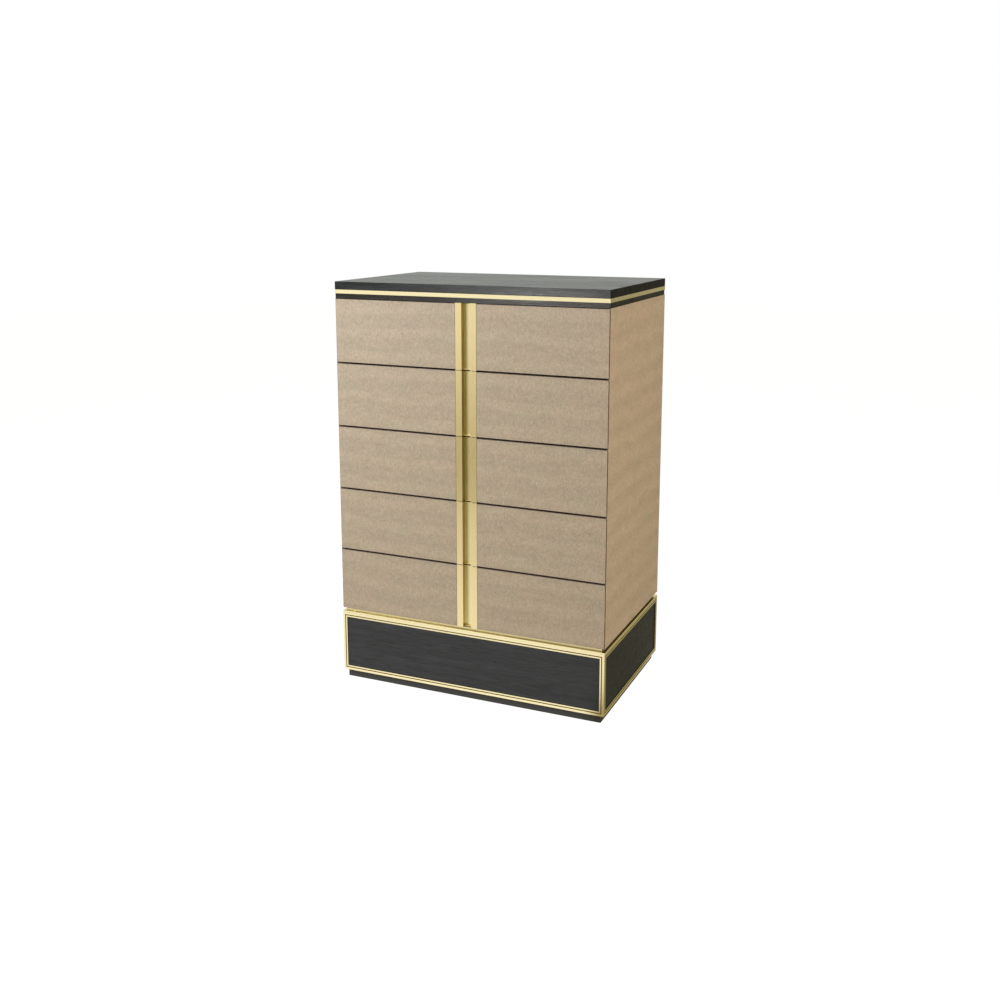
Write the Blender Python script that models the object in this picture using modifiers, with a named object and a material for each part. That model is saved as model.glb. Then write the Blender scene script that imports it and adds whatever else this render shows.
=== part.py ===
"""Tallboy: five leather-faced drawers, brass channel pulls, black oak top and panelled base.

Metres, +Z up. The origin is on the floor under the middle of the cabinet, the fronts face -Y,
and +X is to the right of someone who stands in front of it.
"""

import math

import bmesh
import bpy

# Overall plan
WIDTH = 0.900
DEPTH = 0.560

# Heights, from the floor up
TOE_HEIGHT = 0.025
BASE_HEIGHT = 0.197
LEDGE_HEIGHT = 0.005
NECK_HEIGHT = 0.011
DRAWER_COUNT = 5
DRAWER_FRONT_HEIGHT = 0.1985
DRAWER_GAP = 0.004
TOP_SHADOW_GAP = 0.0015
LOWER_BAND_HEIGHT = 0.015
BRASS_BAND_HEIGHT = 0.012
SLAB_HEIGHT = 0.025

# Setbacks from the outer faces
TOE_RECESS_FRONT = 0.009
TOE_RECESS_SIDE = 0.012
NECK_RECESS_FRONT = 0.008
NECK_RECESS_SIDE = 0.011
NECK_SHADOW_GAP = 0.002
LOWER_BAND_INSET = 0.0015
BACK_PANEL_INSET = 0.002

# Boards and strips
SIDE_PANEL = 0.020
CARCASS_BOARD = 0.018
BACK_PANEL = 0.008
BASE_BOARD = 0.018
BRASS_STRIP = 0.003

# Corner seam: how far the drawer front and the side panel each stop short of the front corner
SEAM_FRONT = 0.0012
SEAM_SIDE = 0.0024

# Brass frame of the base and the oak field inside it
FRAME_THICKNESS = 0.012
FRAME_RAIL = 0.0070
FRAME_GROOVE = 0.0032
FRAME_GROOVE_DEPTH = 0.004
FRAME_FILLET = 0.0043
FIELD_RECESS = 0.0025
FIELD_ROOT = 0.004

# Brass channel pull, which runs a little past the leather at both ends
HANDLE_SHEET = 0.002
HANDLE_FLANGE = 0.0205
CHANNEL_WIDTH = 0.028
CHANNEL_DEPTH = 0.020
CHANNEL_END_PLATE = 0.002
CHANNEL_END_SETBACK = 0.012
HANDLE_SEAM = 0.001
HANDLE_OVERHANG = 0.0012
SLOT_WEB = 0.0047

# Drawer box
FRONT_STANDOFF = 0.002
BOX_WALL = 0.014
BOX_CLEARANCE = 0.006
BOX_HEADROOM = 0.013
BOX_REAR_CLEARANCE = 0.045
BOTTOM_SHEET = 0.006
BOTTOM_RISE = 0.010
BOTTOM_GROOVE = 0.006

# Two-member runners
RUNNER_SPACE = 0.0127
RUNNER_HEIGHT = 0.045
RUNNER_SHEET = 0.0015
RUNNER_SLACK = 0.0005
RUNNER_FRONT_SETBACK = 0.006
RUNNER_REAR_SETBACK = 0.024

# Fits and eased edges
SEAT = 0.0003
CUT_OVERRUN = 0.010
SLAB_EASE = 0.0008
LEATHER_EASE = 0.0012
METAL_EASE = 0.0003

# Levels and planes that follow from the sizes above
BASE_TOP = TOE_HEIGHT + BASE_HEIGHT
LEDGE_TOP = BASE_TOP + LEDGE_HEIGHT
BODY_BOTTOM = LEDGE_TOP + NECK_HEIGHT
DRAWER_PITCH = DRAWER_FRONT_HEIGHT + DRAWER_GAP
FRONTS_TOP = BODY_BOTTOM + DRAWER_COUNT * DRAWER_PITCH - DRAWER_GAP
BODY_TOP = FRONTS_TOP + TOP_SHADOW_GAP
LOWER_BAND_TOP = BODY_TOP + LOWER_BAND_HEIGHT
BRASS_BAND_TOP = LOWER_BAND_TOP + BRASS_BAND_HEIGHT
TOTAL_HEIGHT = BRASS_BAND_TOP + SLAB_HEIGHT
NECK_TOP = BODY_BOTTOM - NECK_SHADOW_GAP

RIGHT = WIDTH / 2
FRONT = -DEPTH / 2
BACK = DEPTH / 2
FRONT_THICKNESS = CHANNEL_DEPTH + HANDLE_SHEET + SEAT + SLOT_WEB
FRONT_REAR_FACE = FRONT + FRONT_THICKNESS
CARCASS_FRONT = FRONT_REAR_FACE + FRONT_STANDOFF
BACK_PANEL_REAR = BACK - BACK_PANEL_INSET
BACK_PANEL_FACE = BACK_PANEL_REAR - BACK_PANEL
INNER_RIGHT = RIGHT - SIDE_PANEL
BOX_RIGHT = INNER_RIGHT - RUNNER_SPACE
BOX_REAR = BACK_PANEL_FACE - BOX_REAR_CLEARANCE
BOX_RISE = CARCASS_BOARD - NECK_SHADOW_GAP + BOX_CLEARANCE
BOX_DROP = CARCASS_BOARD - TOP_SHADOW_GAP + BOX_HEADROOM
RUNNER_FRONT = FRONT_REAR_FACE + RUNNER_FRONT_SETBACK
RUNNER_REAR = BOX_REAR - RUNNER_REAR_SETBACK

FRAME_WIDTH = FRAME_RAIL + FRAME_GROOVE + FRAME_FILLET

SIDES = (("left", -1), ("right", 1))

# Colour, roughness and metallic value of each material
MATERIALS = {
    "black_oak": ((0.045, 0.047, 0.045), 0.45, 0.0),
    "satin_brass": ((0.78, 0.62, 0.33), 0.28, 1.0),
    "shagreen_leather": ((0.42, 0.33, 0.24), 0.60, 0.0),
    "drawer_maple": ((0.62, 0.48, 0.32), 0.50, 0.0),
    "black_board": ((0.030, 0.030, 0.028), 0.65, 0.0),
    "runner_steel": ((0.55, 0.55, 0.55), 0.35, 1.0),
}


def clear_scene():
    """Empties the scene of whatever Blender opened with."""
    for obj in list(bpy.data.objects):
        bpy.data.objects.remove(obj, do_unlink=True)


def new_collection(name):
    collection = bpy.data.collections.new(name)
    bpy.context.scene.collection.children.link(collection)
    return collection


def new_material(name):
    colour, roughness, metallic = MATERIALS[name]
    material = bpy.data.materials.new(name)
    material.use_nodes = True
    shader = material.node_tree.nodes["Principled BSDF"]
    shader.inputs["Base Color"].default_value = (*colour, 1.0)
    shader.inputs["Roughness"].default_value = roughness
    shader.inputs["Metallic"].default_value = metallic
    material.diffuse_color = (*colour, 1.0)
    return material


def place(obj, material=None, parent=None):
    """Files an object with the parts, or with the cutters when it has no material."""
    if material is None:
        cutters.objects.link(obj)
        obj.hide_render = True
        obj.display_type = "WIRE"
    else:
        parts.objects.link(obj)
        obj.data.materials.append(materials[material])
    if parent is not None:
        obj.parent = parent
        obj.location = obj.location - parent.location
    return obj


def box(name, low, high, material=None, parent=None):
    """A box between two corners, with its origin at its middle."""
    mesh = bpy.data.meshes.new(name)
    shape = bmesh.new()
    bmesh.ops.create_cube(shape, size=1.0)
    sides = [high[axis] - low[axis] for axis in range(3)]
    bmesh.ops.scale(shape, vec=sides, verts=shape.verts)
    shape.to_mesh(mesh)
    shape.free()
    obj = bpy.data.objects.new(name, mesh)
    obj.location = [(low[axis] + high[axis]) / 2 for axis in range(3)]
    return place(obj, material, parent)


def outline_mesh(name, loops, height):
    """A flat outline, with any holes in it, raised from z = 0 to the given height."""
    curve = bpy.data.curves.new(name, "CURVE")
    curve.dimensions = "2D"
    curve.fill_mode = "BOTH"
    curve.extrude = height / 2
    for loop in loops:
        spline = curve.splines.new("POLY")
        spline.points.add(len(loop) - 1)
        for point, (x, y) in zip(spline.points, loop):
            point.co = (x, y, 0.0, 1.0)
        spline.use_cyclic_u = True
    guide = bpy.data.objects.new(name, curve)
    bpy.context.scene.collection.objects.link(guide)
    graph = bpy.context.evaluated_depsgraph_get()
    mesh = bpy.data.meshes.new_from_object(guide.evaluated_get(graph))
    bpy.data.objects.remove(guide, do_unlink=True)
    bpy.data.curves.remove(curve)
    shape = bmesh.new()
    shape.from_mesh(mesh)
    bmesh.ops.remove_doubles(shape, verts=shape.verts, dist=1e-6)
    bmesh.ops.recalc_face_normals(shape, faces=shape.faces)
    bmesh.ops.translate(shape, vec=(0.0, 0.0, height / 2), verts=shape.verts)
    shape.to_mesh(mesh)
    shape.free()
    mesh.name = name
    return mesh


def upright(name, loops, low, high, material=None, parent=None):
    """An outline in plan, standing from one height to another."""
    obj = bpy.data.objects.new(name, outline_mesh(name, loops, high - low))
    obj.location = (0.0, 0.0, low)
    return place(obj, material, parent)


def along_y(name, loops, front, rear, material=None, parent=None):
    """An outline seen from the front, x across and z up, run from a front plane to a rear one."""
    obj = bpy.data.objects.new(name, outline_mesh(name, loops, rear - front))
    obj.rotation_euler = (math.pi / 2, 0.0, 0.0)
    obj.location = (0.0, rear, 0.0)
    return place(obj, material, parent)


def rectangle(left, right, bottom, top):
    return [(left, bottom), (right, bottom), (right, top), (left, top)]


def follow(cutter, obj):
    """Ties a cutter to the piece it cuts, so that it goes where the piece goes."""
    cutter.parent = obj
    cutter.matrix_parent_inverse = obj.matrix_basis.inverted()


def boolean(obj, other, operation="DIFFERENCE"):
    modifier = obj.modifiers.new(operation.title(), "BOOLEAN")
    modifier.operation = operation
    modifier.object = other
    modifier.solver = "EXACT"


def ease(obj, width):
    """Takes the sharpness off every edge of a plain piece."""
    modifier = obj.modifiers.new("Eased edges", "BEVEL")
    modifier.width = width
    modifier.segments = 1
    modifier.limit_method = "ANGLE"


def drawer_bottom_edge(number):
    """Height of the lower edge of a drawer front. Drawer 1 is the top one."""
    return BODY_BOTTOM + (DRAWER_COUNT - number) * DRAWER_PITCH


def make_top():
    """Oak slab over a brass strip round a core board, over a thinner oak band."""
    slab = box(
        "top_slab",
        (-RIGHT, FRONT, BRASS_BAND_TOP + SEAT),
        (RIGHT, BACK, TOTAL_HEIGHT),
        "black_oak",
    )
    ease(slab, SLAB_EASE)
    core_x = RIGHT - BRASS_STRIP
    core_y = BACK - BRASS_STRIP
    upright(
        "top_brass_band",
        [
            rectangle(-RIGHT, RIGHT, FRONT, BACK),
            rectangle(-core_x, core_x, -core_y, core_y),
        ],
        LOWER_BAND_TOP,
        BRASS_BAND_TOP,
        "satin_brass",
    )
    box(
        "top_core",
        (-core_x + SEAT, -core_y + SEAT, LOWER_BAND_TOP),
        (core_x - SEAT, core_y - SEAT, BRASS_BAND_TOP),
        "black_board",
    )
    band_x = RIGHT - LOWER_BAND_INSET
    box(
        "top_lower_band",
        (-band_x, FRONT + LOWER_BAND_INSET, BODY_TOP),
        (band_x, BACK - LOWER_BAND_INSET, LOWER_BAND_TOP - SEAT),
        "black_oak",
    )


def make_carcass():
    """Leather side panels with mitred front edges, joined by a top, a bottom and a back."""
    for name, side in SIDES:
        outline = [
            (side * INNER_RIGHT, BACK),
            (side * INNER_RIGHT, FRONT + SEAM_SIDE + SIDE_PANEL),
            (side * RIGHT, FRONT + SEAM_SIDE),
            (side * RIGHT, BACK),
        ]
        panel = upright(
            f"side_panel_{name}", [outline], BODY_BOTTOM, BODY_TOP - SEAT, "shagreen_leather"
        )
        ease(panel, METAL_EASE)
    board_x = INNER_RIGHT - SEAT
    board_rear = BACK_PANEL_FACE - SEAT
    box(
        "carcass_top",
        (-board_x, CARCASS_FRONT, BODY_TOP - CARCASS_BOARD),
        (board_x, board_rear, BODY_TOP - SEAT),
        "black_board",
    )
    box(
        "carcass_bottom",
        (-board_x, CARCASS_FRONT, NECK_TOP),
        (board_x, board_rear, NECK_TOP + CARCASS_BOARD),
        "black_board",
    )
    box(
        "back_panel",
        (-board_x, BACK_PANEL_FACE, NECK_TOP),
        (board_x, BACK_PANEL_REAR, BODY_TOP - SEAT),
        "black_board",
    )


def make_neck():
    """Brass ledge with a brass strip standing on it, set in all round, and a core board in both."""
    x = RIGHT - NECK_RECESS_SIDE
    y = BACK - NECK_RECESS_FRONT
    inner_x = x - BRASS_STRIP
    inner_y = y - BRASS_STRIP
    high = NECK_TOP - SEAT
    window = rectangle(-inner_x, inner_x, -inner_y, inner_y)
    upright(
        "base_ledge",
        [rectangle(-RIGHT, RIGHT, FRONT, BACK), window],
        BASE_TOP,
        LEDGE_TOP,
        "satin_brass",
    )
    upright(
        "neck_band", [rectangle(-x, x, -y, y), window], LEDGE_TOP + SEAT, high, "satin_brass"
    )
    box(
        "neck_core",
        (-inner_x + SEAT, -inner_y + SEAT, BASE_TOP),
        (inner_x - SEAT, inner_y - SEAT, high),
        "black_board",
    )


def mitre(obj, half, end, depth):
    """Cuts one end of a piece that faces -Y at 45 degrees, back from its outer corner."""
    # Half the seat clearance comes off each of the two pieces that meet at the corner.
    corner = end * (half - SEAT / 2)
    reach = depth + CUT_OVERRUN
    wedge = upright(
        f"{obj.name}_mitre_{'right' if end > 0 else 'left'}",
        [
            [
                (corner + end * CUT_OVERRUN, -CUT_OVERRUN),
                (corner + end * reach, reach),
                (corner - end * reach, reach),
            ]
        ],
        -CUT_OVERRUN,
        BASE_HEIGHT + CUT_OVERRUN,
    )
    follow(wedge, obj)
    boolean(obj, wedge)


def base_frame(name, length, mitred_ends):
    """A brass frame that faces -Y, with a sunk line between its rail and its inner fillet."""
    half = length / 2
    high = BASE_HEIGHT - SEAT

    def inset(by):
        return rectangle(-half + by, half - by, by, high - by)

    frame = along_y(
        name, [inset(0.0), inset(FRAME_WIDTH)], 0.0, FRAME_THICKNESS, "satin_brass"
    )
    groove = along_y(
        f"{name}_groove",
        [inset(FRAME_RAIL), inset(FRAME_RAIL + FRAME_GROOVE)],
        -CUT_OVERRUN,
        FRAME_GROOVE_DEPTH,
    )
    follow(groove, frame)
    boolean(frame, groove)
    for end in mitred_ends:
        mitre(frame, half, end, FRAME_THICKNESS)
    return frame


def base_panel(name, length, mitred_ends):
    """An oak board that faces -Y, with a raised field that fills the window of its frame."""
    half = length / 2
    high = BASE_HEIGHT - SEAT
    board_face = FRAME_THICKNESS + SEAT
    board = box(
        name,
        (-half, board_face, SEAT),
        (half, board_face + BASE_BOARD, high),
        "black_oak",
    )
    field_in = FRAME_WIDTH + SEAT
    field = box(
        f"{name}_field",
        (-half + field_in, FIELD_RECESS, field_in),
        (half - field_in, board_face + FIELD_ROOT, high - field_in),
    )
    follow(field, board)
    boolean(board, field, "UNION")
    for end in mitred_ends:
        mitre(board, half, end, board_face + BASE_BOARD)
    return board


def turn(obj, angle, x, y, z):
    """Turns a piece made facing -Y about the vertical, then moves it to its place."""
    own_x, own_y, own_z = obj.location
    cosine, sine = math.cos(angle), math.sin(angle)
    obj.location = (
        x + own_x * cosine - own_y * sine,
        y + own_x * sine + own_y * cosine,
        z + own_z,
    )
    obj.rotation_euler[2] = angle


def make_base():
    """Toe-kick, oak boards in brass frames on three sides, and a plain back."""
    toe_y = BACK - TOE_RECESS_FRONT
    toe_x = RIGHT - TOE_RECESS_SIDE
    box("toe_kick", (-toe_x, -toe_y, 0.0), (toe_x, toe_y, TOE_HEIGHT), "black_board")

    # Each row gives the face's name, its length, its turn from facing -Y, where it goes,
    # and which of its ends are mitred. The sides run past the front corners to the back.
    faces = (
        ("front", WIDTH, 0.0, (0.0, FRONT), (-1, 1)),
        ("left", DEPTH, -math.pi / 2, (-RIGHT, 0.0), (1,)),
        ("right", DEPTH, math.pi / 2, (RIGHT, 0.0), (-1,)),
    )
    for name, length, angle, (x, y), mitred_ends in faces:
        frame = base_frame(f"base_frame_{name}", length, mitred_ends)
        panel = base_panel(f"base_panel_{name}", length, mitred_ends)
        for piece in (frame, panel):
            turn(piece, angle, x, y, TOE_HEIGHT)
    back_x = RIGHT - FRAME_THICKNESS - BASE_BOARD - 2 * SEAT
    box(
        "base_back_board",
        (-back_x, BACK - BASE_BOARD, TOE_HEIGHT + SEAT),
        (back_x, BACK, BASE_TOP - SEAT),
        "black_board",
    )


def runner_outline(side, web_x, lip_x, half_height, centre):
    """A C section: a web against one surface, with a lip along each edge towards the other."""
    inner = web_x + math.copysign(RUNNER_SHEET, lip_x - web_x)
    half_inner = half_height - RUNNER_SHEET
    return [
        (side * web_x, centre - half_height),
        (side * lip_x, centre - half_height),
        (side * lip_x, centre - half_inner),
        (side * inner, centre - half_inner),
        (side * inner, centre + half_inner),
        (side * lip_x, centre + half_inner),
        (side * lip_x, centre + half_height),
        (side * web_x, centre + half_height),
    ]


def runner_centre(number):
    low = drawer_bottom_edge(number) + BOX_RISE
    high = drawer_bottom_edge(number) + DRAWER_FRONT_HEIGHT - BOX_DROP
    return (low + high) / 2


def make_cabinet_runners(number):
    web_x = INNER_RIGHT - SEAT
    lip_x = BOX_RIGHT + 2 * RUNNER_SLACK
    for name, side in SIDES:
        outline = runner_outline(side, web_x, lip_x, RUNNER_HEIGHT / 2, runner_centre(number))
        along_y(
            f"cabinet_runner_{number}_{name}",
            [outline],
            RUNNER_FRONT,
            RUNNER_REAR,
            "runner_steel",
        )


def make_drawer_runners(number, parent):
    web_x = BOX_RIGHT + SEAT
    lip_x = INNER_RIGHT - SEAT - RUNNER_SHEET - RUNNER_SLACK
    half_height = RUNNER_HEIGHT / 2 - RUNNER_SHEET - RUNNER_SLACK
    for name, side in SIDES:
        outline = runner_outline(side, web_x, lip_x, half_height, runner_centre(number))
        along_y(
            f"drawer_{number}_runner_{name}",
            [outline],
            RUNNER_FRONT,
            RUNNER_REAR,
            "runner_steel",
            parent,
        )


def make_drawer_front(number, parent):
    """A leather-wrapped board, mitred at both ends and slotted down the middle for the pull."""
    low = drawer_bottom_edge(number)
    high = low + DRAWER_FRONT_HEIGHT
    face_x = RIGHT - SEAM_FRONT
    rear_x = face_x - FRONT_THICKNESS
    front = upright(
        f"drawer_{number}_front",
        [
            [
                (-face_x, FRONT),
                (face_x, FRONT),
                (rear_x, FRONT_REAR_FACE),
                (-rear_x, FRONT_REAR_FACE),
            ]
        ],
        low,
        high,
        "shagreen_leather",
        parent,
    )
    ease(front, LEATHER_EASE)
    rebate_x = CHANNEL_WIDTH / 2 + HANDLE_FLANGE + HANDLE_SEAM
    slot_x = CHANNEL_WIDTH / 2 + HANDLE_SHEET + SEAT
    rebate = box(
        f"drawer_{number}_front_rebate",
        (-rebate_x, FRONT - CUT_OVERRUN, low - CUT_OVERRUN),
        (rebate_x, FRONT + HANDLE_SHEET + SEAT, high + CUT_OVERRUN),
        parent=parent,
    )
    slot = box(
        f"drawer_{number}_front_slot",
        (-slot_x, FRONT - CUT_OVERRUN, low - CUT_OVERRUN),
        (slot_x, FRONT + CHANNEL_DEPTH + HANDLE_SHEET + SEAT, high + CUT_OVERRUN),
        parent=parent,
    )
    boolean(front, rebate)
    boolean(front, slot)


def make_handle(number, parent):
    """A brass channel with a flange each side, and a plate set back in each end of it."""
    low = drawer_bottom_edge(number) - HANDLE_OVERHANG
    high = drawer_bottom_edge(number) + DRAWER_FRONT_HEIGHT + HANDLE_OVERHANG
    flange_x = CHANNEL_WIDTH / 2 + HANDLE_FLANGE
    wall_x = CHANNEL_WIDTH / 2 + HANDLE_SHEET
    flange_rear = FRONT + HANDLE_SHEET
    floor_rear = FRONT + CHANNEL_DEPTH + HANDLE_SHEET
    handle = upright(
        f"drawer_{number}_handle",
        [
            [
                (-flange_x, FRONT),
                (flange_x, FRONT),
                (flange_x, flange_rear),
                (wall_x, flange_rear),
                (wall_x, floor_rear),
                (-wall_x, floor_rear),
                (-wall_x, flange_rear),
                (-flange_x, flange_rear),
            ]
        ],
        low,
        high,
        "satin_brass",
        parent,
    )
    mouth = box(
        f"drawer_{number}_handle_mouth",
        (-CHANNEL_WIDTH / 2, FRONT - CUT_OVERRUN, low - CUT_OVERRUN),
        (CHANNEL_WIDTH / 2, FRONT + CHANNEL_END_SETBACK, high + CUT_OVERRUN),
        parent=parent,
    )
    channel = box(
        f"drawer_{number}_handle_channel",
        (-CHANNEL_WIDTH / 2, FRONT - CUT_OVERRUN, low + CHANNEL_END_PLATE),
        (CHANNEL_WIDTH / 2, FRONT + CHANNEL_DEPTH, high - CHANNEL_END_PLATE),
        parent=parent,
    )
    boolean(handle, mouth)
    boolean(handle, channel)


def make_drawer_box(number, parent):
    """Four joined walls with a groove that holds the bottom sheet."""
    low = drawer_bottom_edge(number) + BOX_RISE
    high = drawer_bottom_edge(number) + DRAWER_FRONT_HEIGHT - BOX_DROP
    face = FRONT_REAR_FACE + SEAT
    inner_x = BOX_RIGHT - BOX_WALL
    inner_front = face + BOX_WALL
    inner_rear = BOX_REAR - BOX_WALL
    walls = upright(
        f"drawer_{number}_box",
        [
            rectangle(-BOX_RIGHT, BOX_RIGHT, face, BOX_REAR),
            rectangle(-inner_x, inner_x, inner_front, inner_rear),
        ],
        low,
        high,
        "drawer_maple",
        parent,
    )
    sheet_low = low + BOTTOM_RISE
    sheet_high = sheet_low + BOTTOM_SHEET

    def sheet(name, reach, slack, material=None):
        return box(
            name,
            (-inner_x - reach, inner_front - reach, sheet_low - slack),
            (inner_x + reach, inner_rear + reach, sheet_high + slack),
            material,
            parent,
        )

    groove = sheet(f"drawer_{number}_box_groove", BOTTOM_GROOVE, SEAT)
    boolean(walls, groove)
    sheet(f"drawer_{number}_bottom", BOTTOM_GROOVE - SEAT, 0.0, "drawer_maple")


def make_drawer(number):
    """One drawer under an empty on the line that it slides along."""
    slide = bpy.data.objects.new(f"drawer_{number}_slide", None)
    slide.location = (0.0, FRONT, drawer_bottom_edge(number) + DRAWER_FRONT_HEIGHT / 2)
    parts.objects.link(slide)
    make_drawer_front(number, slide)
    make_handle(number, slide)
    make_drawer_box(number, slide)
    make_drawer_runners(number, slide)


clear_scene()
parts = new_collection("tallboy")
cutters = new_collection("tallboy_cutters")
cutters.hide_render = True
materials = {name: new_material(name) for name in MATERIALS}
make_top()
make_carcass()
make_neck()
make_base()
for number in range(1, DRAWER_COUNT + 1):
    make_cabinet_runners(number)
    make_drawer(number)
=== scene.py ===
"""Looks of the tallboy: camera, stage, light, finishes and the small pieces that the frame leaves out.

Metres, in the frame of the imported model: +Z up, the drawer fronts facing -Y, origin on the floor.
"""

import math

import bmesh
import bpy
from mathutils import Matrix, Vector


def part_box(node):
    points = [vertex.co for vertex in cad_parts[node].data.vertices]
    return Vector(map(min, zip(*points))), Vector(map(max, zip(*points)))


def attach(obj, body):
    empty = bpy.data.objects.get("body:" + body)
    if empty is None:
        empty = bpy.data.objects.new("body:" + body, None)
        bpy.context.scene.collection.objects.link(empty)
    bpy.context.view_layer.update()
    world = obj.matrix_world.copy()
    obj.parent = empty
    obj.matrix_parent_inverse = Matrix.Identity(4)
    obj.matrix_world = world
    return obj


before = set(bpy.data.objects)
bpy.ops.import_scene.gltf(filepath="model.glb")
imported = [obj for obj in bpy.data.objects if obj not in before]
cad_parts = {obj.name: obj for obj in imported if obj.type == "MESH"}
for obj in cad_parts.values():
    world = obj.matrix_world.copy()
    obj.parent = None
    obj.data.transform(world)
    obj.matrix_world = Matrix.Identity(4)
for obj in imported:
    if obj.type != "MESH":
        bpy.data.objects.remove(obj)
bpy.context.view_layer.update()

# Camera, at the photographer's place. It tilts down more than the photograph's did, and shifts less.
CAMERA_PLACE = (1.4365, -3.2839, 1.5316)
CAMERA_AZIMUTH = math.radians(23.7144)
CAMERA_PITCH = math.radians(10.3052)
CAMERA_SENSOR = 36.0
CAMERA_LENS = 40.490
CAMERA_SHIFT = (-0.0016, -0.0900)

# Stage and light
FLOOR_RADIUS = 14.0
FLOOR_EDGES = 96
FLOOR_COLOUR = (0.66, 0.60, 0.51, 1.0)
FLOOR_WHITE = 1.20
FLOOR_WHITE_SHARE = 0.80
AMBIENT = (0.388, 0.363, 0.332, 1.0)

# Reflections see a bright side of the studio, ahead and to the left, and a dim rest. Each span says how
# squarely a direction points to a side where one colour begins to give way to the next, and where it has.
BRIGHT_SIDE = (-0.53, -0.848, 0.0)
BRIGHT = (1.04, 1.04, 1.03, 1.0)
BRIGHT_SPAN = (0.50, 0.86)
DIM_AHEAD = (0.20, 0.19, 0.10, 1.0)
DIM_BESIDE = (0.42, 0.39, 0.28, 1.0)
DIM_BEHIND = (0.76, 0.785, 0.73, 1.0)
BESIDE_SPAN = (-0.15, 0.15)
AHEAD_SPAN = (-0.30, 0.30)

# Brightness of the floor in reflections, by distance from the middle of the cabinet
FLOOR_GLOSS = (
    (0.0, (1.12, 1.12, 1.12)),
    (1.3, (1.02, 1.01, 1.01)),
    (1.7, (0.91, 0.90, 0.88)),
    (2.4, (0.84, 0.83, 0.78)),
    (2.9, (0.68, 0.66, 0.52)),
    (3.4, (0.58, 0.55, 0.40)),
    (3.9, (0.54, 0.50, 0.36)),
    (4.6, (0.67, 0.65, 0.52)),
    (5.6, (0.79, 0.77, 0.67)),
    (6.8, (0.87, 0.85, 0.78)),
    (8.2, (0.98, 0.97, 0.94)),
    (10.0, (1.06, 1.06, 1.05)),
)
DIM_FLOOR_GLOSS = (
    (0.0, (0.38, 0.34, 0.20)),
    (1.8, (0.37, 0.33, 0.20)),
    (4.5, (0.22, 0.20, 0.10)),
)

# In reflections the floor turns dim to the right of a line from the cabinet's right side forward
DIM_LINE_FOOT = (0.45, 0.0, 0.0)
DIM_LINE_LEFTWARD = (-0.995, 0.10, 0.0)
DIM_LINE_BLUR = 0.05

# The span in which most of a noise lies, between nought and one
NOISE_SPAN = (0.30, 0.70)
WIDE_SPAN = (0.25, 0.75)

# How squarely a face looks along an axis where it begins to count as facing it, and where it fully does
SIDEWAYS = (0.80, 0.95)
UPWARD = (0.70, 0.90)
EDGE_TURN = (0.35, 0.70)
END_TURN = 0.70

# Drawers: five alike, a pitch apart, with dovetailed corners
DRAWERS = range(1, 6)
SIDES = (("left", -1), ("right", 1))
DRAWER_PITCH = 0.2025
FIRST_DRAWER_LOW = 0.238
BOX_LOW = 0.022
BOX_HIGH = 0.169
BOX_FRONT_WALL = -0.2387
BOX_REAR_WALL = 0.2110
BOX_INNER = 0.4033
BOX_WALL = 0.014
TAIL_COUNT = 4
TAIL_HALF = 0.0115
TAIL_FLARE = 0.0022
FACE_MARGIN = 0.0004
GLUE_HALF = 0.00025

# Leather: how many features it has to the metre on each axis, its colours, and the depth of its relief
PEBBLES = (620.0, 620.0, 520.0)
PEBBLE_SPAN = (0.12, 0.62)
PEBBLE_TONE = (0.80, 1.03)
PEBBLE_ROUGHNESS = (0.68, 0.50)
PEBBLE_DEPTH = 0.00005
FRONT_FLECKS = (330.0, 330.0, 165.0)
SIDE_FLECKS = (330.0, 330.0, 110.0)
FLECK_TONE = (0.80, 1.20)
FLECK_DEPTH = 0.00008
FRONT_CLOUDS = (20.0, 20.0, 62.0)
SIDE_CLOUDS = (30.0, 15.0, 40.0)
TAUPE_PATCHES = (9.0, 9.0, 21.0)
TAUPES = ((0.32, (0.457, 0.375, 0.260)), (0.68, (0.486, 0.373, 0.262)))
# Painted shade: dark brown on leather edges that look up or down, for the shade in the gaps between drawers
EDGE_PAINTED_SHADE = (0.085, 0.055, 0.035, 1.0)

# Leather turns in over the edges and stops: nearer than this to the middle the boards are bare
SIDE_LINING = 0.4310
FRONT_LINING = 0.2540
BARE_BOARD = (0.028, 0.026, 0.024, 1.0)

# Soft level bands in the leather, a spacing apart: the height of the top one, how strong the plain wave
# and its overtones are, and whether they start anew with every drawer
BAND_SPACING = 0.0730
BAND_WANDER = 0.9
BAND_WANDER_SCALE = (6.0, 6.0, 3.0)
FRONT_BANDS = (0.172, (0.037, 0.013, -0.009), True)
SIDE_BANDS = (1.2122, (0.041,), False)

# Brass: its brush strokes to the metre, upright on the handles and level elsewhere, and its clouds
UPRIGHT_STROKES = (1400.0, 1400.0, 12.0)
LEVEL_STROKES = (12.0, 12.0, 1400.0)
BRASS_CLOUDS = (9.0, 9.0, 9.0)
STROKE_ROUGHNESS = 0.04
CLOUD_ROUGHNESS = (-0.01, 0.02)
STROKE_DEPTH = 0.00001

# Handles. The channel's sunk floor starts just behind one plane, and the plate at its upper end lies
# behind another, above a height in the handle.
HANDLE_LOW = 0.2368
HALF_GAP_BETWEEN_HANDLES = 0.0008
CHANNEL_FLOOR = -0.262
CHANNEL_FLOOR_BLUR = 0.002
# Painted light: the channel's sunk floor gets a lighter brass, standing in for the brightness of its
# reflection
CHANNEL_FLOOR_PAINTED_LIGHT = (0.90, 0.775, 0.42, 1.0)
# Painted shade on the channel's walls, which look sideways
CHANNEL_WALL_PAINTED_SHADE = (0.65, 0.67, 0.66, 1.0)
END_PLATE_FACE = -0.2686
END_PLATE_LOW = 0.1986
END_PLATE_BLACK = (0.045, 0.035, 0.015, 1.0)

# How light each handle's colour is made, from the top one down
HANDLE_TONES = (1.07, 1.02, 0.93, 1.06, 1.06)
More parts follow.
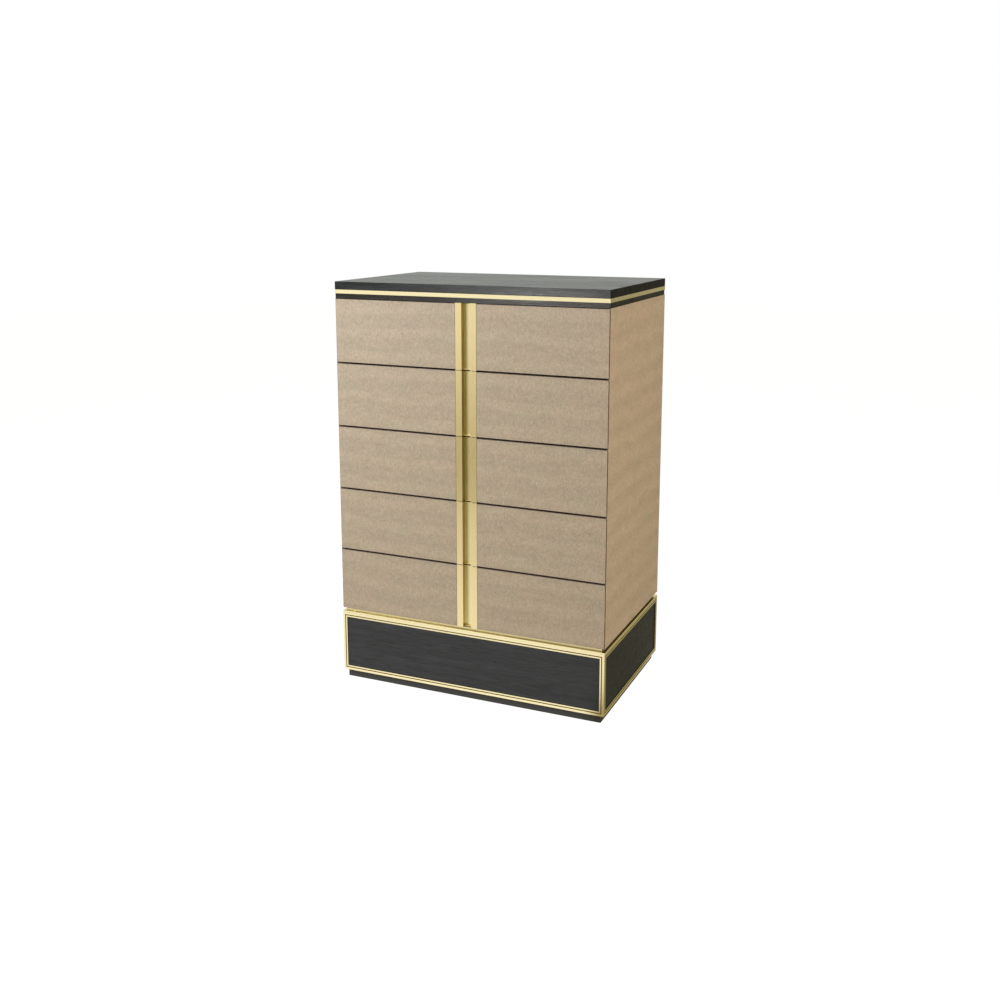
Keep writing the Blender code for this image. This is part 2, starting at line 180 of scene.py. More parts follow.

# The base's brass lies flush with the cabinet's outer planes, but for its sunk lines and the neck. Behind
# those planes the brass gets painted shade, darkest in the sunk lines.
CABINET_SIDE = 0.450
CABINET_FRONT = -0.280
NECK_LOW = 0.2268
PAINTED_SHADE_SPAN = (0.0006, 0.0014)
SUNK_PAINTED_SHADE = (0.30, 0.24, 0.11, 1.0)
NECK_PAINTED_SHADE = (0.66, 0.64, 0.60, 1.0)
NECK_PAINTED_SHADE_UPWARD = (0.50, 0.48, 0.40, 1.0)
NECK_PAINTED_SHADE_BESIDE = (1.0, 0.98, 0.92, 1.0)
# Painted light: base brass that faces sideways is made a little lighter
SIDE_BRASS_PAINTED_LIGHT = (1.06, 1.05, 1.0, 1.0)

# Oak, along the grain and across it: features to the metre, depths of the relief, and the stains, each
# from its darkest figure to its lightest
OAK_PORES = (24.0, 650.0)
OAK_FIGURE = (3.0, 55.0)
OAK_GRAIN = (7.0, 240.0)
PORE_SPAN = (0.36, 0.50)
PORE_DEPTH = 0.00004
GRAIN_DEPTH = 0.00008
FIGURE_DEPTH = 0.00010
GRAIN_ROUGHNESS = (0.22, 0.32)
FIGURE_ROUGHNESS = (-0.07, 0.07)
PORE_BLACK = (0.004, 0.004, 0.0035, 1.0)
# End grain near black: more stain soaked up, and painted shade on the faces that look sideways
END_STAIN_AND_SHADE = (0.003, 0.003, 0.0025, 1.0)
STAIN_SPAN = (0.30, 0.75)
BLACK_STAIN = ((0.010, 0.0105, 0.0105), (0.019, 0.0205, 0.020))
BROWN_STAIN = ((0.011, 0.0095, 0.008), (0.020, 0.018, 0.015))
COOL_STAIN = ((0.013, 0.016, 0.0165), (0.022, 0.0265, 0.027))

# Maple of the drawers, along the grain and across it
MAPLE_FIGURE = (2.5, 38.0)
MAPLE_FIBRE = (18.0, 600.0)
MAPLE_COLOURS = (
    (0.28, (0.50, 0.355, 0.215)),
    (0.52, (0.60, 0.45, 0.29)),
    (0.78, (0.66, 0.52, 0.355)),
)
FIBRE_TONE = (0.93, 1.04)
FIBRE_ROUGHNESS = (0.42, 0.52)
FIBRE_DEPTH = 0.00005
END_PORES = (900.0, 900.0, 900.0)
END_PORE_TONE = (0.58, 0.80)
GLUE_BROWN = (0.17, 0.10, 0.05, 1.0)
GLUE_SINK = -0.00010

# Black paint on boards, and zinc on the runners
PEEL = (420.0, 420.0, 420.0)
PEEL_ROUGHNESS = (0.55, 0.68)
PEEL_DEPTH = 0.00006
PAINT_CLOUDS = (8.0, 8.0, 8.0)
PAINTS = ((0.3, (0.025, 0.023, 0.019)), (0.7, (0.034, 0.032, 0.027)))
ROLLING_LINES = (700.0, 6.0, 700.0)
ROLLING_ROUGHNESS = (0.34, 0.48)
ROLLING_DEPTH = 0.00001
ZINC_CLOUDS = (60.0, 60.0, 60.0)
ZINCS = ((0.3, (0.50, 0.51, 0.52)), (0.7, (0.60, 0.605, 0.60)))
ZINC_METALLIC = 0.75

# Finish of each piece, and the width of its rounded arrises
ARRIS_SEGMENTS = 2
ARRIS_ANGLE = math.radians(30.0)
CABINET_LOOKS = {
    "top_slab": ("oak_x", 0.0004),
    "top_brass_band": ("brass_band", 0.0003),
    "top_core": ("board", 0.0008),
    "top_lower_band": ("oak_band", 0.0008),
    "side_panel_left": ("leather_side", 0.0006),
    "side_panel_right": ("leather_side", 0.0006),
    "carcass_top": ("board", 0.0008),
    "carcass_bottom": ("board", 0.0008),
    "back_panel": ("board", 0.0008),
    "neck_band": ("brass_base", 0.0003),
    "neck_core": ("board", 0.0008),
    "base_ledge": ("brass_base", 0.0003),
    "base_frame_front": ("brass_base", 0.0004),
    "base_frame_left": ("brass_base", 0.0004),
    "base_frame_right": ("brass_base", 0.0004),
    "base_panel_front": ("oak_base", 0.0006),
    "base_panel_left": ("oak_y", 0.0006),
    "base_panel_right": ("oak_y", 0.0006),
    "base_back_board": ("board", 0.0012),
    "toe_kick": ("board", 0.0010),
}
DRAWER_LOOKS = {
    "drawer_{}_front": ("leather_front", 0.0009),
    "drawer_{}_handle": ("brass_upright", 0.0005),
    "drawer_{}_box": ("maple_box", 0.0008),
    "drawer_{}_bottom": ("maple_x", 0.0),
    "drawer_{}_runner_left": ("steel", 0.0002),
    "drawer_{}_runner_right": ("steel", 0.0002),
    "cabinet_runner_{}_left": ("steel", 0.0002),
    "cabinet_runner_{}_right": ("steel", 0.0002),
}

# Screws with domed heads and a cross recess. Each ring is a share of the radius and of the height.
SCREW_RADIUS = 0.0040
SCREW_HEIGHT = 0.0013
SCREW_RINGS = ((0.16, 1.0), (0.50, 0.96), (0.58, 0.94), (0.85, 0.72), (0.98, 0.35), (1.0, 0.0))
SCREW_SIDES = 16
CROSS_DEPTH = 0.55
CROSS_MIDDLE = 0.20
CROSS_REACH = 0.55
BACK_SCREW_COLUMNS = (-0.38, -0.19, 0.0, 0.19, 0.38)
BACK_SCREW_MARGIN = 0.009
FRONT_SCREW_COLUMNS = (-0.34, -0.13, 0.13, 0.34)
FRONT_SCREW_ROWS = (0.045, 0.115)
RUNNER_SCREW_MARGIN = 0.03
RUNNER_SHEET = 0.0015


def grey(level):
    return (level, level, level, 1.0)


def grain(axis, along, across):
    """How many features a pattern has to the metre on each axis when it is drawn out along one."""
    return tuple(along if name == axis else across for name in "XYZ")


class Finish:
    """A material under way: a Principled shader and the nodes that feed it.

    Every pattern is laid in object coordinates, which are the frame's own metres.
    """

    def __init__(self, name):
        self.material = bpy.data.materials.new(name)
        self.material.use_nodes = True
        self.tree = self.material.node_tree
        self.shader = self.tree.nodes["Principled BSDF"]
        self.place = self.add("TexCoord").outputs["Object"]

    def add(self, kind, inputs=None, **settings):
        node = self.tree.nodes.new("ShaderNode" + kind)
        for key, value in settings.items():
            setattr(node, key, value)
        for key, value in (inputs or {}).items():
            self.feed(node.inputs[key], value)
        return node

    def feed(self, socket, value):
        if isinstance(value, bpy.types.NodeSocket):
            self.tree.links.new(value, socket)
        else:
            socket.default_value = value

    def along(self, axis):
        """The place on the object along one axis."""
        return self.add("SeparateXYZ", {"Vector": self.place}).outputs[axis]

    def facing(self, axis):
        """How far the surface faces along one axis of the object, from -1 to 1."""
        normal = self.add("TexCoord").outputs["Normal"]
        return self.add("SeparateXYZ", {"Vector": normal}).outputs[axis]

    def scaled(self, scale):
        """Object coordinates, stretched so that a pattern has so many features to the metre on each axis."""
        return self.add("Mapping", {"Vector": self.place, "Scale": scale}).outputs["Vector"]

    def noise(self, scale, detail=2.0, rough=0.5, warp=0.0):
        inputs = {
            "Vector": self.scaled(scale),
            "Scale": 1.0,
            "Detail": detail,
            "Roughness": rough,
            "Distortion": warp,
        }
        return self.add("TexNoise", inputs).outputs["Fac"]

    def cells(self, scale, randomness):
        inputs = {"Vector": self.scaled(scale), "Scale": 1.0, "Randomness": randomness}
        return self.add("TexVoronoi", inputs).outputs["Distance"]

    def remap(self, value, low, high, to_low=0.0, to_high=1.0):
        inputs = {
            "Value": value,
            "From Min": low,
            "From Max": high,
            "To Min": to_low,
            "To Max": to_high,
        }
        return self.add("MapRange", inputs).outputs["Result"]

    def swing(self, noise, low, high, span=NOISE_SPAN):
        """A noise brought from the span in which most of it lies to another."""
        return self.remap(noise, *span, low, high)

    def math(self, operation, first, second=0.0):
        return self.add("Math", {0: first, 1: second}, operation=operation).outputs["Value"]

    def minus(self, first, second):
        return self.math("SUBTRACT", first, second)

    def product(self, first, *others):
        """Two or more values multiplied."""
        for other in others:
            first = self.math("MULTIPLY", first, other)
        return first

    def absolute(self, value):
        return self.math("ABSOLUTE", value)

    def above(self, value, limit):
        """One where a value is greater than a limit, and nought elsewhere."""
        return self.math("GREATER_THAN", value, limit)

    def below(self, value, limit):
        return self.math("LESS_THAN", value, limit)

    def ramp(self, value, stops):
        """Grey or coloured steps along a value: each stop is a place and a linear colour."""
        node = self.add("ValToRGB", {"Fac": value})
        elements = node.color_ramp.elements
        while len(elements) > len(stops):
            elements.remove(elements[-1])
        while len(elements) < len(stops):
            elements.new(1.0)
        for element, (place, colour) in zip(elements, stops):
            element.position = place
            element.color = (*colour, 1.0)
        return node.outputs["Color"]

    def mix(self, factor, first, second, blend="MIX"):
        node = self.add("Mix", data_type="RGBA", blend_type=blend)
        sockets = {socket.identifier: socket for socket in node.inputs}
        self.feed(sockets["Factor_Float"], factor)
        self.feed(sockets["A_Color"], first)
        self.feed(sockets["B_Color"], second)
        return next(socket for socket in node.outputs if socket.identifier == "Result_Color")

    def tinted(self, colour, tone):
        """A colour multiplied by another or by a grey."""
        return self.mix(1.0, colour, tone, "MULTIPLY")

    def bump(self, height, depth, under=None):
        """Relief of a real depth in metres, on top of any relief underneath."""
        inputs = {"Height": height, "Distance": depth, "Strength": 1.0}
        if under is not None:
            inputs["Normal"] = under
        return self.add("Bump", inputs).outputs["Normal"]

    def set(self, **values):
        """Feeds the shader's own sockets, named with underscores for spaces."""
        for key, value in values.items():
            self.feed(self.shader.inputs[key.replace("_", " ")], value)
        return self.material


class WorldFinish(Finish):
    """The same helpers, on the world's own nodes."""

    def __init__(self, world):
        self.material = world
        world.use_nodes = True
        self.tree = world.node_tree
        self.shader = self.tree.nodes["Background"]
        self.place = self.add("TexCoord").outputs["Generated"]


def height_in_drawer(make, low):
    """Height above a level that comes back with every drawer."""
    return make.math("FLOORED_MODULO", make.minus(make.along("Z"), low), DRAWER_PITCH)


def level_bands(make, top, waves, each_drawer):
    """Factor near one that draws soft bands, a little wavy, from a top height down."""
    height = height_in_drawer(make, FIRST_DRAWER_LOW) if each_drawer else make.along("Z")
    turn = make.product(make.minus(height, top), math.tau / BAND_SPACING)
    wander = make.noise(BAND_WANDER_SCALE, detail=1.0)
    turn = make.math("ADD", turn, make.swing(wander, -BAND_WANDER, BAND_WANDER, WIDE_SPAN))
    factor = 1.0
    for order, strength in enumerate(waves, 1):
        wave = make.math("COSINE", make.product(turn, float(order)))
        factor = make.math("ADD", make.product(wave, strength), factor)
    return factor


def make_leather(name, axis, lining, flecks, clouds, cloud_depth, bands):
    """Fine pebbled leather: upright flecks, clouds, level bands, and a slow drift between two taupes.

    Edges that look up or down are painted dark brown, as painted shade for the gaps between drawers. Nearer
    to the cabinet's middle than the lining, along one axis, the board behind the leather is bare and black.
    """
    make = Finish(name)
    height = make.remap(make.cells(PEBBLES, randomness=0.9), *PEBBLE_SPAN, 1.0, 0.0)
    fleck = make.noise(flecks, rough=0.55)
    cloud = make.noise(clouds, rough=0.55)
    patch = make.noise(TAUPE_PATCHES, detail=3.0, rough=0.6, warp=0.6)
    tone = make.product(
        make.swing(fleck, *FLECK_TONE, WIDE_SPAN),
        make.swing(cloud, 1.0 - cloud_depth, 1.0 + cloud_depth, WIDE_SPAN),
        make.remap(height, 0.0, 1.0, *PEBBLE_TONE),
        level_bands(make, *bands),
    )
    colour = make.tinted(make.ramp(patch, TAUPES), tone)
    # Painted shade: edges that look up or down are darkened for the gaps between drawers
    edge = make.remap(make.absolute(make.facing("Z")), *EDGE_TURN)
    colour = make.mix(edge, colour, EDGE_PAINTED_SHADE)
    bare = make.below(make.absolute(make.along(axis)), lining)
    colour = make.mix(bare, colour, BARE_BOARD)
    relief = make.bump(height, PEBBLE_DEPTH)
    relief = make.bump(fleck, FLECK_DEPTH, relief)
    return make.set(
        Base_Color=colour,
        Roughness=make.remap(height, 0.0, 1.0, *PEBBLE_ROUGHNESS),
        Normal=relief,
    )


def handle_tone(make):
    """A grey by which each handle's colour is multiplied."""
    height = make.along("Z")
    tone = grey(HANDLE_TONES[-1])
    for step, level in enumerate(reversed(HANDLE_TONES[:-1]), 1):
        border = HANDLE_LOW + step * DRAWER_PITCH - HALF_GAP_BETWEEN_HANDLES
        tone = make.mix(make.above(height, border), tone, grey(level))
    return tone


def at_end_plate(make):
    """One on the upper end plates of the handles' channels, whose colour is set near black, and nought
    elsewhere.
    """
    high = make.above(height_in_drawer(make, HANDLE_LOW), END_PLATE_LOW)
    return make.product(high, make.above(make.along("Y"), END_PLATE_FACE))


def shade_handle(make, colour):
    """Painted light and shade in a handle: the channel's walls, which look sideways, are darkened as painted
    shade, and its sunk floor lightened as painted light.
    """
    sideways = make.remap(make.absolute(make.facing("X")), *SIDEWAYS)
    # Painted shade: the channel's walls are darkened
    colour = make.mix(sideways, colour, make.tinted(colour, CHANNEL_WALL_PAINTED_SHADE))
    # Painted light: the sunk floor is given a lighter brass
    sunk = make.remap(make.along("Y"), CHANNEL_FLOOR - CHANNEL_FLOOR_BLUR, CHANNEL_FLOOR)
    colour = make.mix(sunk, colour, CHANNEL_FLOOR_PAINTED_LIGHT)
    colour = make.tinted(colour, handle_tone(make))
    return make.mix(at_end_plate(make), colour, END_PLATE_BLACK)


def tarnish_base(make, colour):
    """Behind the cabinet's outer planes brass gets painted shade: most in the sunk lines, less on the neck;
    sideways brass is painted lighter.
    """
    from_side = make.minus(CABINET_SIDE, make.absolute(make.along("X")))
    from_front = make.minus(make.along("Y"), CABINET_FRONT)
    behind = make.remap(make.math("MINIMUM", from_side, from_front), *PAINTED_SHADE_SPAN)
    upward = make.remap(make.facing("Z"), *UPWARD)
    painted_shade = make.mix(upward, NECK_PAINTED_SHADE, NECK_PAINTED_SHADE_UPWARD)
    painted_shade = make.mix(make.below(from_side, from_front), painted_shade, NECK_PAINTED_SHADE_BESIDE)
    # Painted shade: darkest in the sunk lines below the neck, less on the neck and its ledge
    painted_shade = make.mix(make.above(make.along("Z"), NECK_LOW), SUNK_PAINTED_SHADE, painted_shade)
    # Painted light: brass that faces sideways is made a little lighter
    sideways = make.remap(make.absolute(make.facing("X")), *SIDEWAYS)
    colour = make.mix(sideways, colour, make.tinted(colour, SIDE_BRASS_PAINTED_LIGHT))
    return make.mix(behind, colour, make.tinted(colour, painted_shade))


def make_brass(name, strokes, dark, light, rough, blur=0.0, painted_light=None):
    """Satin brass. Blur is how much its brush strokes spread light, and the last argument a further change
    of colour that paints light and shade in.
    """
    make = Finish(name)
    stroke = make.noise(strokes, rough=0.6)
    cloud = make.noise(BRASS_CLOUDS)
    colour = make.ramp(stroke, tuple(zip(WIDE_SPAN, (dark, light))))
    if painted_light is not None:
        colour = painted_light(make, colour)
    rough = make.math(
        "ADD",
        make.swing(stroke, rough - STROKE_ROUGHNESS, rough + STROKE_ROUGHNESS),
        make.swing(cloud, *CLOUD_ROUGHNESS),
    )
    return make.set(
        Base_Color=colour,
        Metallic=1.0,
        Roughness=rough,
        Anisotropic=blur,
        Normal=make.bump(stroke, STROKE_DEPTH),
    )


def make_oak(name, axis, shine, stain=BLACK_STAIN, ends=0.0):
    """Open-grained oak stained black: long pores, softer figure and a low sheen.

    Where the ends show, their grain has soaked up more stain and stays duller by so much roughness; their
    near-black colour also stands in as painted shade on those sideways faces.
    """
    make = Finish(name)
    pores = make.noise(grain(axis, *OAK_PORES), rough=0.55)
    figure = make.noise(grain(axis, *OAK_FIGURE), detail=3.0, rough=0.6, warp=0.4)
    fibre = make.noise(grain(axis, *OAK_GRAIN), detail=3.0, rough=0.6)
    colour = make.ramp(figure, tuple(zip(STAIN_SPAN, stain)))
    colour = make.mix(make.remap(pores, *PORE_SPAN, 1.0, 0.0), colour, PORE_BLACK)
    relief = make.bump(make.remap(pores, *PORE_SPAN), PORE_DEPTH)
    relief = make.bump(fibre, GRAIN_DEPTH, relief)
    relief = make.bump(figure, FIGURE_DEPTH, relief)
    rough = make.swing(fibre, *GRAIN_ROUGHNESS)
    rough = make.math("ADD", rough, make.swing(figure, *FIGURE_ROUGHNESS))
    if ends > 0.0:
        end = make.remap(make.absolute(make.facing("X")), *SIDEWAYS)
        # End grain darkened: partly stain, partly painted shade on the sideways faces
        colour = make.mix(end, colour, END_STAIN_AND_SHADE)
        rough = make.math("ADD", rough, make.product(end, ends))
    return make.set(
        Base_Color=colour,
        Roughness=rough,
        Specular_IOR_Level=shine,
        Normal=relief,
    )


def maple_noises(make, axis):
    """The figure and the fibre of a maple board that runs along an axis."""
    figure = make.noise(grain(axis, *MAPLE_FIGURE), detail=3.0, rough=0.55, warp=0.6)
    return figure, make.noise(grain(axis, *MAPLE_FIBRE))


def maple_colour(make, figure, fibre):
    return make.tinted(make.ramp(figure, MAPLE_COLOURS), make.swing(fibre, *FIBRE_TONE))


def make_maple(name, axis):
    """Pale drawer wood under a clear satin lacquer."""
    make = Finish(name)
    figure, fibre = maple_noises(make, axis)
    return make.set(
        Base_Color=maple_colour(make, figure, fibre),
        Roughness=make.swing(fibre, *FIBRE_ROUGHNESS),
        Normal=make.bump(fibre, FIBRE_DEPTH),
    )


def make_jointed_maple(name):
    """The drawer box: the same maple in four boards, whose corners show dovetails, end grain and glue."""
    make = Finish(name)
    pitch = (BOX_HIGH - BOX_LOW) / TAIL_COUNT
    level = height_in_drawer(make, FIRST_DRAWER_LOW + BOX_LOW)
    step = make.math("FRACT", make.math("DIVIDE", level, pitch))
    off_centre = make.product(make.absolute(make.minus(step, 0.5)), pitch)
    depth = make.along("Y")
    into_end = make.math("MAXIMUM", make.minus(BOX_FRONT_WALL, depth), make.minus(depth, BOX_REAR_WALL))
    flare = make.product(into_end, TAIL_FLARE / BOX_WALL)
    past_tail = make.minus(make.minus(off_centre, TAIL_HALF), flare)
    past_side = make.minus(make.absolute(make.along("X")), BOX_INNER)
    in_end = make.above(into_end, -FACE_MARGIN)
    pin = make.above(past_tail, 0.0)
    between = make.below(past_side, -FACE_MARGIN)
    crosswise = make.product(in_end, make.math("MAXIMUM", pin, between))

    figure_lengthwise, fibre_lengthwise = maple_noises(make, "Y")
    figure_crosswise, fibre_crosswise = maple_noises(make, "X")
    figure = make.mix(crosswise, figure_lengthwise, figure_crosswise)
    fibre = make.mix(crosswise, fibre_lengthwise, fibre_crosswise)
    end_on = make.mix(crosswise, make.absolute(make.facing("Y")), make.absolute(make.facing("X")))
    colour = maple_colour(make, figure, fibre)
    pored = make.tinted(colour, make.swing(make.noise(END_PORES), *END_PORE_TONE))
    colour = make.mix(make.above(end_on, END_TURN), colour, pored)

    glue_sides = make.product(make.below(make.absolute(past_tail), GLUE_HALF), in_end)
    glue_root = make.below(make.absolute(into_end), GLUE_HALF)
    glue = make.math("MAXIMUM", glue_sides, glue_root)
    glue = make.product(glue, make.above(past_side, 0.0))
    colour = make.mix(glue, colour, GLUE_BROWN)
    relief = make.bump(fibre, FIBRE_DEPTH)
    relief = make.bump(glue, GLUE_SINK, relief)
    return make.set(
        Base_Color=colour,
        Roughness=make.swing(fibre, *FIBRE_ROUGHNESS),
        Normal=relief,
    )


def make_board(name):
    """Board painted black, matt, with the faint orange peel of a roller."""
    make = Finish(name)
    peel = make.noise(PEEL)
    return make.set(
        Base_Color=make.ramp(make.noise(PAINT_CLOUDS, detail=3.0), PAINTS),
        Roughness=make.swing(peel, *PEEL_ROUGHNESS),
        Normal=make.bump(peel, PEEL_DEPTH),
    )


def make_steel(name):
    """Zinc-plated steel sheet with rolling lines."""
    make = Finish(name)
    lines = make.noise(ROLLING_LINES)
    return make.set(
        Base_Color=make.ramp(make.noise(ZINC_CLOUDS, detail=3.0), ZINCS),
        Metallic=ZINC_METALLIC,
        Roughness=make.swing(lines, *ROLLING_ROUGHNESS),
        Normal=make.bump(lines, ROLLING_DEPTH),
    )


def make_finishes():
    return {
        "leather_front": make_leather(
            "shagreen_leather_front", axis="Y", lining=FRONT_LINING, flecks=FRONT_FLECKS,
            clouds=FRONT_CLOUDS, cloud_depth=0.045, bands=FRONT_BANDS,
        ),
        "leather_side": make_leather(
            "shagreen_leather_side", axis="X", lining=SIDE_LINING, flecks=SIDE_FLECKS,
            clouds=SIDE_CLOUDS, cloud_depth=0.05, bands=SIDE_BANDS,
        ),
        "brass_upright": make_brass(
            "satin_brass_upright", UPRIGHT_STROKES, dark=(0.785, 0.63, 0.33), light=(0.845, 0.695, 0.38),
            rough=0.29, blur=0.7, painted_light=shade_handle,
        ),
        "brass_band": make_brass(
            "satin_brass_band", LEVEL_STROKES, dark=(0.85, 0.735, 0.43), light=(0.90, 0.795, 0.50),
            rough=0.21,
        ),
        "brass_base": make_brass(
            "satin_brass_base", LEVEL_STROKES, dark=(0.89, 0.77, 0.44), light=(0.94, 0.83, 0.51),
            rough=0.21, painted_light=tarnish_base,
        ),
        "oak_x": make_oak("black_oak_x", "X", shine=0.12, ends=0.24),
        "oak_band": make_oak("black_oak_band", "X", shine=0.10, stain=BROWN_STAIN, ends=0.08),
        "oak_y": make_oak("black_oak_y", "Y", shine=0.03, stain=COOL_STAIN),
        "oak_base": make_oak("black_oak_base", "X", shine=0.34),
        "maple_x": make_maple("drawer_maple_x", "X"),
        "maple_box": make_jointed_maple("drawer_maple_box"),
        "board": make_board("black_board"),
        "steel": make_steel("runner_steel"),
    }


def dress(node, finish, arris):
    """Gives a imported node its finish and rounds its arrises."""
    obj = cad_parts[node]
    obj.data.materials.clear()
    obj.data.materials.append(finishes[finish])
    if arris > 0.0:
        bevel = obj.modifiers.new("Rounded arrises", "BEVEL")
        bevel.width = arris
        bevel.segments = ARRIS_SEGMENTS
        bevel.limit_method = "ANGLE"
        bevel.angle_limit = ARRIS_ANGLE
        bevel.harden_normals = False


def dress_cabinet():
    for node, (finish, arris) in CABINET_LOOKS.items():
        dress(node, finish, arris)


def dress_drawer(number):
    for node, (finish, arris) in DRAWER_LOOKS.items():
        dress(node.format(number), finish, arris)


def add_mesh(name, shape):
    """Puts a shape that is ready into the scene."""
    mesh = bpy.data.meshes.new(name)
    shape.to_mesh(mesh)
    shape.free()
    piece = bpy.data.objects.new(name, mesh)
    bpy.context.scene.collection.objects.link(piece)
    return piece


def screw_head(shape, spot, facing):
    """Adds one head to a mesh under way, standing on a spot and facing a direction."""
    turn = Vector((0.0, 0.0, 1.0)).rotation_difference(Vector(facing)).to_matrix().to_4x4()
    stand = Matrix.Translation(spot) @ turn
    rings = []
    for share, rise in SCREW_RINGS:
        ring = []
        for index in range(SCREW_SIDES):
            angle = math.tau * (index + 0.5) / SCREW_SIDES
            arm = index % 4 in (0, 3)
            sunk = share < CROSS_MIDDLE or (arm and share < CROSS_REACH)
            high = SCREW_HEIGHT * (rise - CROSS_DEPTH if sunk else rise)
            radius = SCREW_RADIUS * share
            corner = Vector((radius * math.cos(angle), radius * math.sin(angle), high))
            ring.append(shape.verts.new(stand @ corner))
        rings.append(ring)
    middle = shape.verts.new(stand @ Vector((0.0, 0.0, SCREW_HEIGHT * (1.0 - CROSS_DEPTH))))
    for index in range(SCREW_SIDES):
        after = (index + 1) % SCREW_SIDES
        shape.faces.new((middle, rings[0][index], rings[0][after]))
        for inner, outer in zip(rings, rings[1:]):
            shape.faces.new((inner[index], outer[index], outer[after], inner[after]))
    shape.faces.new(reversed(rings[-1]))


def make_screws(name, body, spots, facing):
    shape = bmesh.new()
    for spot in spots:
        screw_head(shape, spot, facing)
    piece = add_mesh(name, shape)
    piece.data.materials.append(finishes["steel"])
    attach(piece, body)


def screw_cabinet():
    low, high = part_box("back_panel")
    rows = (low.z + BACK_SCREW_MARGIN, high.z - BACK_SCREW_MARGIN)
    spots = [(x, high.y, z) for x in BACK_SCREW_COLUMNS for z in rows]
    make_screws("back_panel_screws", "cabinet", spots, (0.0, 1.0, 0.0))


def screw_drawer(number):
    low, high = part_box(f"drawer_{number}_box")
    wall = low.y + BOX_WALL
    spots = [(x, wall, low.z + rise) for x in FRONT_SCREW_COLUMNS for rise in FRONT_SCREW_ROWS]
    make_screws(f"drawer_{number}_front_screws", f"drawer_{number}", spots, (0.0, 1.0, 0.0))
    for side, sign in SIDES:
        low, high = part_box(f"drawer_{number}_runner_{side}")
        web = (low.x if sign > 0 else high.x) + sign * RUNNER_SHEET
        centre = (low.z + high.z) / 2
        places = (low.y + RUNNER_SCREW_MARGIN, (low.y + high.y) / 2, high.y - RUNNER_SCREW_MARGIN)
        spots = [(web, y, centre) for y in places]
        make_screws(f"drawer_{number}_runner_screws_{side}", f"drawer_{number}", spots, (sign, 0.0, 0.0))


def make_camera():
    data = bpy.data.cameras.new("camera")
    data.sensor_width = CAMERA_SENSOR
    data.lens = CAMERA_LENS
    data.shift_x, data.shift_y = CAMERA_SHIFT
    camera = bpy.data.objects.new("camera", data)
    camera.location = CAMERA_PLACE
    camera.rotation_euler = (math.pi / 2 - CAMERA_PITCH, 0.0, CAMERA_AZIMUTH)
    bpy.context.scene.collection.objects.link(camera)
    bpy.context.scene.camera = camera


def make_world():
    """White to the camera, an even warm grey as light, and a bright and a dim side in reflections."""
    world = bpy.data.worlds.new("studio")
    bpy.context.scene.world = world
    make = WorldFinish(world)
    rays = make.add("LightPath").outputs
    behind = make.mix(make.remap(make.along("X"), *BESIDE_SPAN), DIM_BEHIND, DIM_BESIDE)
    dim = make.mix(make.remap(make.along("Y"), *AHEAD_SPAN), DIM_AHEAD, behind)
    towards = make.add("VectorMath", {0: make.place, 1: BRIGHT_SIDE}, operation="DOT_PRODUCT")
    gloss = make.mix(make.remap(towards.outputs["Value"], *BRIGHT_SPAN), dim, BRIGHT)
    colour = make.mix(rays["Is Glossy Ray"], AMBIENT, gloss)
    colour = make.mix(rays["Is Camera Ray"], colour, grey(1.0))
    make.set(Color=colour, Strength=1.0)


def floor_glow(make):
    """The floor's own brightness: white, and in reflections rings that dim to the right of a line."""
    distance = make.add("VectorMath", {0: make.place}, operation="LENGTH").outputs["Value"]
    share = make.math("DIVIDE", distance, FLOOR_RADIUS)
    rings = make.ramp(share, [(radius / FLOOR_RADIUS, colour) for radius, colour in FLOOR_GLOSS])
    dim = make.ramp(share, [(radius / FLOOR_RADIUS, colour) for radius, colour in DIM_FLOOR_GLOSS])
    from_foot = make.add("VectorMath", {0: make.place, 1: DIM_LINE_FOOT}, operation="SUBTRACT")
    inputs = {0: from_foot.outputs["Vector"], 1: DIM_LINE_LEFTWARD}
    leftward = make.add("VectorMath", inputs, operation="DOT_PRODUCT").outputs["Value"]
    gloss = make.mix(make.remap(leftward, 0.0, DIM_LINE_BLUR), dim, rings)
    is_glossy = make.add("LightPath").outputs["Is Glossy Ray"]
    return make.mix(is_glossy, grey(FLOOR_WHITE), gloss)


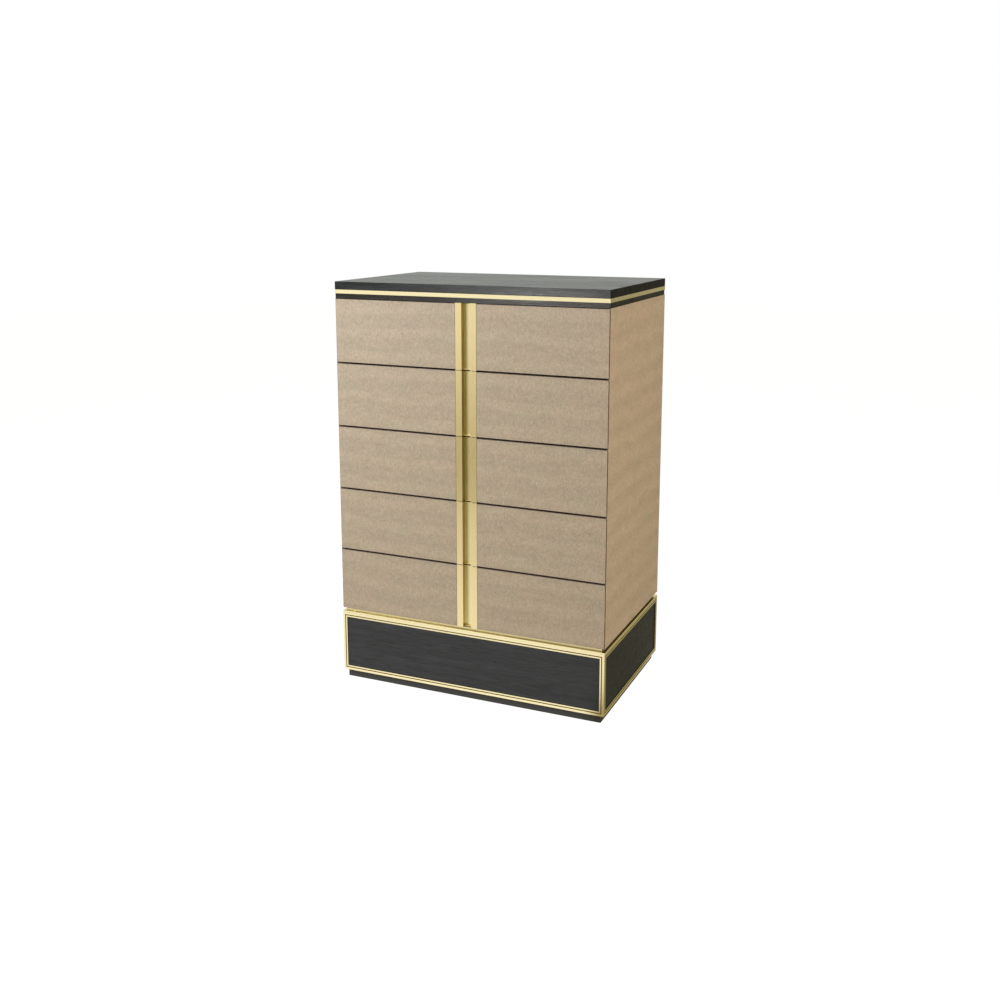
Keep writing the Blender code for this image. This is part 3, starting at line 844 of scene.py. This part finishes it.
def make_floor():
    """Round pale floor, which glows to the camera and in reflections and is lit under a faint shadow."""
    shape = bmesh.new()
    bmesh.ops.create_circle(shape, cap_ends=True, segments=FLOOR_EDGES, radius=FLOOR_RADIUS)
    floor = add_mesh("floor", shape)
    make = Finish("floor")
    glow = make.add("Emission", {"Color": floor_glow(make), "Strength": 1.0}).outputs["Emission"]
    lit = make.add("BsdfDiffuse", {"Color": FLOOR_COLOUR}).outputs["BSDF"]
    rays = make.add("LightPath").outputs
    seen = make.product(rays["Is Camera Ray"], FLOOR_WHITE_SHARE)
    factor = make.math("ADD", seen, rays["Is Glossy Ray"])
    mixed = make.add("MixShader", {0: factor, 1: lit, 2: glow}).outputs["Shader"]
    make.feed(make.tree.nodes["Material Output"].inputs["Surface"], mixed)
    make.tree.nodes.remove(make.shader)
    floor.data.materials.append(make.material)


def make_lamp(name, place, target, size, watts, colour, only=(), mirrored=True):
    """An area lamp. Where nodes are named, it lights those alone. Polished brass shows it where mirrored."""
    data = bpy.data.lights.new(name, "AREA")
    data.shape = "RECTANGLE"
    data.size, data.size_y = size
    data.energy = watts
    data.color = colour
    lamp = bpy.data.objects.new(name, data)
    lamp.location = place
    lamp.rotation_euler = (Vector(target) - Vector(place)).to_track_quat("-Z", "Y").to_euler()
    bpy.context.scene.collection.objects.link(lamp)
    lamp.visible_glossy = mirrored
    if only:
        group = bpy.data.collections.new(f"lit by {name}")
        for node in only:
            group.objects.link(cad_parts[node])
        lamp.light_linking.receiver_collection = group


def make_lamps():
    make_lamp(
        "key", place=(-1.8, -1.98, 2.45), target=(0.0, -0.2, 0.9), size=(1.4, 1.4),
        watts=89.0, colour=(0.915, 0.985, 1.085),
    )
    make_lamp(
        "fill", place=(3.3, -0.7, 1.8), target=(0.4, 0.0, 0.7), size=(1.4, 1.4),
        watts=61.0, colour=(1.0, 0.89, 0.76), mirrored=False,
    )
    make_lamp(
        "strip", place=(-0.98, -3.3, 1.45), target=(0.2, -0.28, 1.28), size=(0.6, 1.8),
        watts=84.0, colour=(1.0, 1.0, 0.96), only=("top_slab", "top_lower_band", "base_panel_front"),
    )


make_camera()
make_world()
make_floor()
make_lamps()
finishes = make_finishes()
dress_cabinet()
screw_cabinet()
for number in DRAWERS:
    dress_drawer(number)
    screw_drawer(number)
bpy.context.scene.view_settings.view_transform = "Standard"
